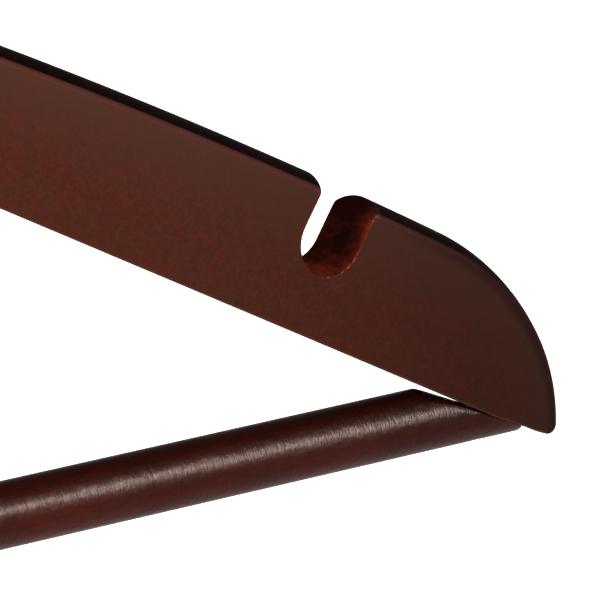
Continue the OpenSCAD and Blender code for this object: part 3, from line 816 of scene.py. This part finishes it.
def zinc_plate():
    """Bright zinc plating, a little cloudy and blue, with fine marks of rolling and driving."""
    n = Nodes("zinc_plate", Metallic=1.0)
    where = n.add("TexCoord").outputs["Object"]
    clouds = n.noise(where, 900, 4, 0.6)
    colour = n.ramp(clouds, (0.3, (0.42, 0.43, 0.45)), (0.7, (0.60, 0.60, 0.58)))
    rough = n.grey(clouds, (0.3, 0.28), (0.7, 0.42))
    marks = n.noise(where, 4000, 2)
    return n.finish(colour, rough, n.bump(marks, strength=0.15, distance=0.00005))


zinc = zinc_plate()
for node in ("right_bar_screw", "left_bar_screw", "hook_washer", "hook_nut"):
    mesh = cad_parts[node].data
    mesh.materials.clear()
    mesh.materials.append(zinc)


# The hook
# One length of 4 mm steel wire, bent and then chromed. A bead swaged on its shank stands on the
# ferrule, and the thread rolled on its lower end takes the nut.

wire_r = 2 * mm
hook_r = 23.5 * mm
throat_r = 9 * mm
hook_past_top = math.radians(105)
bead_r = 3.3 * mm
bead_h = 1.6 * mm
hook_rise = 21 * mm
thread_l = 7.7 * mm
thread_pitch = 0.7 * mm
thread_depth = 0.35 * mm
lead_l, lead_depth = 0.6 * mm, 0.5 * mm
bead_overlap = 0.2 * mm


def wire_path(low_z):
    """Centre line of the wire in the hook's plane, from its lower end to its tip, with tangents.

    It is a straight shank, an arc to the side for the throat, and the round about the rail, each
    of them tangent to the next.
    """
    hook_c = np.array([0, wire_r - hook_r])
    bend_z = hook_c[1] - math.sqrt(hook_r ** 2 + 2 * hook_r * throat_r)
    bend = math.acos(throat_r / (hook_r + throat_r))
    z = np.linspace(low_z, bend_z, 60)[:-1]
    shank = np.stack([0 * z, z], -1)
    a = np.linspace(0, bend, 30)[:-1]
    throat = np.array([throat_r, bend_z]) + throat_r * np.stack([-np.cos(a), np.sin(a)], -1)
    b = np.linspace(-bend, math.pi / 2 + hook_past_top, 150)
    round_part = hook_c + hook_r * np.stack([np.cos(b), np.sin(b)], -1)
    path = np.vstack([shank, throat, round_part])
    way = np.vstack([np.tile([0.0, 1.0], (len(z), 1)), np.stack([np.sin(a), np.cos(a)], -1),
                     np.stack([-np.sin(b), np.cos(b)], -1)])
    return path, way, bend_z


def thread_rings(low_z, a):
    """Rings of the threaded end, one point for each angle a, from its lower end up.

    A tooth is a triangle wave of height and angle together, cut off flat at crest and root, and a
    cone at the lower end leads the thread into the nut.
    """
    turns = int(round(thread_l / thread_pitch))
    z = np.linspace(low_z, low_z + thread_l, turns * 16, endpoint=False)[:, None]
    phase = (z - low_z) / thread_pitch + a / (2 * math.pi)
    ridge = np.abs(2 * (phase % 1) - 1)
    tooth = wire_r - thread_depth * np.clip(1.25 * ridge - 0.1, 0, 1)
    lead = np.clip((z - low_z) / lead_l, 0, 1)
    tooth = np.minimum(tooth, wire_r - lead_depth * (1 - lead))
    return np.stack([tooth * np.cos(a), -tooth * np.sin(a), np.broadcast_to(z, tooth.shape)], -1)


def hook_mesh(name):
    """The threaded end, the wire as a tube along its path to a round tip, and the bead.

    A ring of the tube is its path's point plus the radius times cosine and sine of the angle, in
    the hook's plane and across it.
    """
    low_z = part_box("hook")[0].z
    path, way, bend_z = wire_path(low_z + thread_l)
    side = np.stack([way[:, 1], -way[:, 0]], -1)
    a = np.linspace(0, 2 * math.pi, 48, endpoint=False)
    cap = np.linspace(0, math.pi / 2, 9)[1:]
    radius = np.concatenate([np.full(len(path), wire_r), wire_r * np.cos(cap)])[:, None, None]
    path = np.vstack([path, path[-1] + np.sin(cap)[:, None] * wire_r * way[-1]])
    side = np.vstack([side, np.tile(side[-1], (len(cap), 1))])
    c, s = np.cos(a)[None, :, None], np.sin(a)[None, :, None]
    in_plane = path[:, None] + radius * c * side[:, None]
    tube = np.concatenate([in_plane[..., :1], -radius * s, in_plane[..., 1:]], -1)
    thread = thread_rings(low_z, a)
    grid = np.concatenate([thread[:1] * [0, 0, 1], thread, tube])
    faces = grid_faces(*grid.shape[:2], open_rows=1)

    # The bead, a barrel that overlaps the shank
    bead_z = bend_z - hook_rise - bead_h
    f = np.linspace(-math.pi / 2, math.pi / 2, 13)
    inner = [wire_r - bead_overlap]
    r = np.concatenate([inner, bead_r - bead_h / 2 + bead_h / 2 * np.cos(f), inner])
    z = bead_z + bead_h / 2 + bead_h / 2 * np.concatenate([[-1], np.sin(f), [1]])
    bead = turned_grid(np.stack([r, z], -1), len(a))
    points = np.vstack([grid.reshape(-1, 3), bead.reshape(-1, 3)])
    bead_faces = grid_faces(*bead.shape[:2]) + grid.shape[0] * grid.shape[1]

    mesh = bpy.data.meshes.new(name)
    mesh.from_pydata(points.tolist(), [], faces.tolist() + bead_faces.tolist())
    return smooth(outward(mesh), 50)


def chrome_plate():
    """Bright chrome over drawn wire, with a faint unevenness and hairline rubs."""
    n = Nodes("chrome_plate", Metallic=1.0)
    where = n.add("TexCoord").outputs["Object"]
    clouds = n.noise(where, 120, 3, 0.5)
    colour = n.ramp(clouds, (0.3, (0.60, 0.61, 0.63)), (0.7, (0.68, 0.69, 0.70)))
    rough = n.grey(clouds, (0.3, 0.10), (0.7, 0.17))
    rubs = n.noise(where, 900, 2)
    return n.finish(colour, rough, n.bump(rubs, strength=0.04, distance=0.00005))


chrome = chrome_plate()
piece("hook_wire", hook_mesh("hook_wire"), "hook", "hook", [chrome])


# The neck ferrule
# A bush pressed from thin chromed steel: a flange that sits in the top of the neck, a low dome that
# the hook's bead turns on, and a tube down into the wood.

flange_r, flange_t = 5 * mm, 1.2 * mm
dome_foot_r, dome_in, dome_h = 4.3 * mm, 1.1 * mm, 1.5 * mm
bush_r, bush_bore_r = 3.2 * mm, 2.05 * mm
lip = 0.2 * mm


def ferrule_mesh(name):
    """Flange, dome and tube, turned about the hook's axis from one profile.

    The flange's edge is two quarter circles, and the dome's profile is a quarter wave of a sine.
    """
    round_r = flange_t / 2
    f = np.linspace(0, math.pi / 2, 7)
    quarters = np.concatenate([f - math.pi / 2, f[1:]])
    flange = np.stack([flange_r - round_r + round_r * np.cos(quarters),
                       round_r + round_r * np.sin(quarters)], -1)
    d = np.linspace(0, 1, 9)
    dome = np.stack([dome_foot_r - dome_in * d ** 0.8,
                     flange_t + dome_h * np.sin(d * math.pi / 2)], -1)
    top = flange_t + dome_h
    tube = [(bush_bore_r + lip, top), (bush_bore_r, top - lip), (bush_bore_r, -tube_l),
            (bush_r - lip, -tube_l), (bush_r, lip - tube_l), (bush_r, 0)]
    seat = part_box("neck_ferrule")[0].z + tube_l
    return smooth(turned(np.vstack([flange, dome, tube]) + [0, seat], 72, name), 45)


piece("neck_ferrule_bush", ferrule_mesh("neck_ferrule_bush"), "hanger", "neck_ferrule",
      [chrome])


# The studio
# A pale floor under the hanging piece and a white background. One soft lamp stands in front on the
# left at about camera height, one behind, and a small one draws the line of light along the bar.

floor_drop, floor_half = 0.35, 6
floor_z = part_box("trouser_bar")[0].z - floor_drop
floor_corners = [(x * floor_half, y * floor_half, floor_z)
                 for x, y in ((-1, -1), (1, -1), (1, 1), (-1, 1))]
floor_mesh = bpy.data.meshes.new("floor")
floor_mesh.from_pydata(floor_corners, [], [(0, 1, 2, 3)])
floor = bpy.data.objects.new("floor", floor_mesh)
bpy.context.scene.collection.objects.link(floor)

floor_paint = bpy.data.materials.new("floor_paint")
floor_paint.use_nodes = True
shader = floor_paint.node_tree.nodes["Principled BSDF"]
shader.inputs["Base Color"].default_value = (0.92, 0.92, 0.92, 1)
shader.inputs["Roughness"].default_value = 0.9
shader.inputs["Emission Color"].default_value = (1, 1, 1, 1)
path = floor_paint.node_tree.nodes.new("ShaderNodeLightPath")


def seen(tree, path, in_gloss=1.0):
    """How bright a ray sees the background, which is the largest of three shares.

    The share is 1 for camera and transmission rays, in_gloss for glossy ones, and 0 for all others.
    """
    either = path.outputs["Is Camera Ray"]
    for name, share in (("Is Glossy Ray", in_gloss), ("Is Transmission Ray", 1.0)):
        part = tree.nodes.new("ShaderNodeMath")
        part.operation = "MULTIPLY"
        part.inputs[1].default_value = share
        tree.links.new(path.outputs[name], part.inputs[0])
        larger = tree.nodes.new("ShaderNodeMath")
        larger.operation = "MAXIMUM"
        tree.links.new(either, larger.inputs[0])
        tree.links.new(part.outputs[0], larger.inputs[1])
        either = larger.outputs[0]
    return either


# The floor glows for the rays that see it, and its shadow stays because the glow is short of white
floor_glow, floor_in_gloss = 0.86, 0.35
glow = floor_paint.node_tree.nodes.new("ShaderNodeMath")
glow.operation = "MULTIPLY"
glow.inputs[1].default_value = floor_glow
to_rays = seen(floor_paint.node_tree, path, floor_in_gloss)
floor_paint.node_tree.links.new(to_rays, glow.inputs[0])
floor_paint.node_tree.links.new(glow.outputs[0], shader.inputs["Emission Strength"])
floor_mesh.materials.append(floor_paint)

# The world is white to the camera; reflections find it pale at the horizon and dim higher up,
# and all other light comes from a plain, faint room
world = bpy.data.worlds.new("studio")
bpy.context.scene.world = world
world.use_nodes = True
sky = world.node_tree
room = sky.nodes["Background"]
room.inputs["Color"].default_value = (0.95, 0.96, 1.0, 1)
room.inputs["Strength"].default_value = 0.20
white = sky.nodes.new("ShaderNodeBackground")
white.inputs["Color"].default_value = (1, 1, 1, 1)
mix = sky.nodes.new("ShaderNodeMixShader")
path = sky.nodes.new("ShaderNodeLightPath")
where = sky.nodes.new("ShaderNodeTexCoord")
height = sky.nodes.new("ShaderNodeSeparateXYZ")
dim = sky.nodes.new("ShaderNodeMapRange")
for socket, value in (("From Min", 0.02), ("From Max", 0.30), ("To Min", 0.6), ("To Max", 0.07)):
    dim.inputs[socket].default_value = value
level = sky.nodes.new("ShaderNodeMix")
level.inputs["B"].default_value = 1.0
sky.links.new(where.outputs["Generated"], height.inputs[0])
sky.links.new(height.outputs["Z"], dim.inputs["Value"])
sky.links.new(dim.outputs[0], level.inputs["A"])
sky.links.new(path.outputs["Is Camera Ray"], level.inputs["Factor"])
sky.links.new(level.outputs[0], white.inputs["Strength"])
sky.links.new(seen(sky, path), mix.inputs[0])
sky.links.new(room.outputs[0], mix.inputs[1])
sky.links.new(white.outputs[0], mix.inputs[2])
sky.links.new(mix.outputs[0], sky.nodes["World Output"].inputs["Surface"])

bar_end_point = np.array([165.5 * mm, 0.0, bar_z])


def lamp(name, towards, distance, width, height, power, diffuse=True, gloss=True, tint=(1, 1, 1)):
    """Area lamp that faces the bar's right end from the direction given.

    Distance and size are in metres and the power in watts; diffuse and gloss say whether its light
    shows in the surfaces' colour and in their shine.
    """
    light = bpy.data.lights.new(name, "AREA")
    light.shape, light.size, light.size_y, light.energy = "RECTANGLE", width, height, power
    light.color = tint
    obj = bpy.data.objects.new(name, light)
    bpy.context.scene.collection.objects.link(obj)
    way = np.array(towards) / np.linalg.norm(towards)
    obj.visible_camera = False
    obj.visible_diffuse, obj.visible_glossy = diffuse, gloss
    obj.location = bar_end_point + distance * way
    obj.rotation_euler = Vector(way).to_track_quat("Z", "Y").to_euler()


lamp("soft_front", (-0.68, -0.73, 0.08), 1.8, 1.0, 0.8, 29)
lamp("soft_back", (0.15, 0.97, 0.18), 1.8, 1.0, 0.8, 20, gloss=False)
lamp("bar_line", (0.45, -0.72, 0.455), 1.6, 0.40, 0.36, 80, diffuse=False, tint=(1, 0.79, 0.70))


# The camera
# The photograph was taken close to the right end with a long lens, from the left of it and above.

turn, tilt = math.radians(35.849), math.radians(17.013)
camera_distance, camera_raise = 1.0987, 26.94 * mm
ahead = np.array([math.sin(turn), math.cos(turn), 0])
upright = np.array([0, 0, 1])
forward = ahead * math.cos(tilt) - upright * math.sin(tilt)
upward = ahead * math.sin(tilt) + upright * math.cos(tilt)
camera = bpy.data.cameras.new("camera")
camera.sensor_width = 36
camera.lens = 360
camera.clip_start, camera.clip_end = 0.01, 50
eye = bpy.data.objects.new("camera", camera)
bpy.context.scene.collection.objects.link(eye)
eye.location = bar_end_point + camera_raise * upward - camera_distance * forward
eye.rotation_euler = (math.pi / 2 - tilt, 0, -turn)
bpy.context.scene.camera = eye
bpy.context.scene.view_settings.view_transform = "Standard"
